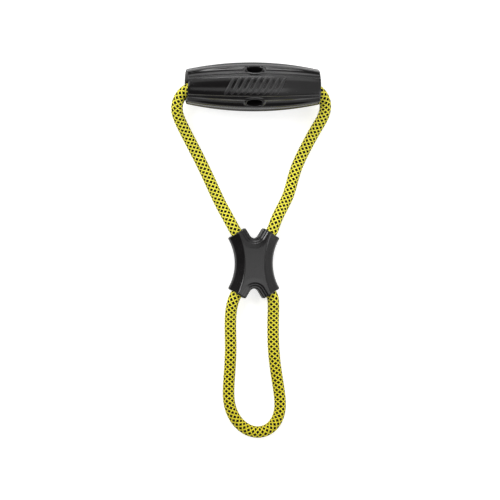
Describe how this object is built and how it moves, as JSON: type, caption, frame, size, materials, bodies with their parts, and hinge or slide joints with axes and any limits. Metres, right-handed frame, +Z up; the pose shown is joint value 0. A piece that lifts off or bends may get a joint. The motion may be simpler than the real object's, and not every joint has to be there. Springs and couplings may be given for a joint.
{
  "type": "tow rope handle",
  "caption": "Fluted barrel grip turning on a loop of braided rope, with an X-shaped sliding keeper that closes off a tow loop.",
  "frame": {"origin": "on the surface the handle lies on, under the middle of the grip", "axes": "+X along the grip, -Y from the grip towards the tow loop, +Z up through the grip's front panel"},
  "size_m": [0.1504, 0.3518, 0.0466],
  "materials": {
    "grip_rubber": "glossy moulded",
    "core_plastic": "matt moulded",
    "keeper_rubber": "satin moulded",
    "braided_rope": "braided, yellow with small black flecks",
    "ferrule_aluminium": "drawn tube, crimped"
  },
  "bodies": {
    "rope": {"leg_left": "braided_rope", "leg_right": "braided_rope", "tow_loop": "braided_rope", "rope_end_left": "braided_rope", "rope_end_right": "braided_rope", "end_ferrule": "ferrule_aluminium"},
    "grip": {"grip_sleeve": "grip_rubber", "grip_core": "core_plastic"},
    "keeper": {"rope_keeper": "keeper_rubber", "keeper_run_left": "braided_rope", "keeper_run_right": "braided_rope"}
  },
  "joints": [
    {"name": "grip_spin", "type": "hinge", "parent": "rope", "child": "grip", "pos_m": [0, 0, 0.023], "axis": [1, 0, 0], "continuous": true},
    {"name": "keeper_slide", "type": "slide", "parent": "rope", "child": "keeper", "axis": [0, 1, 0], "range_m": [-0.02, 0.02], "deforming": ["leg_left", "leg_right", "tow_loop"]}
  ]
}
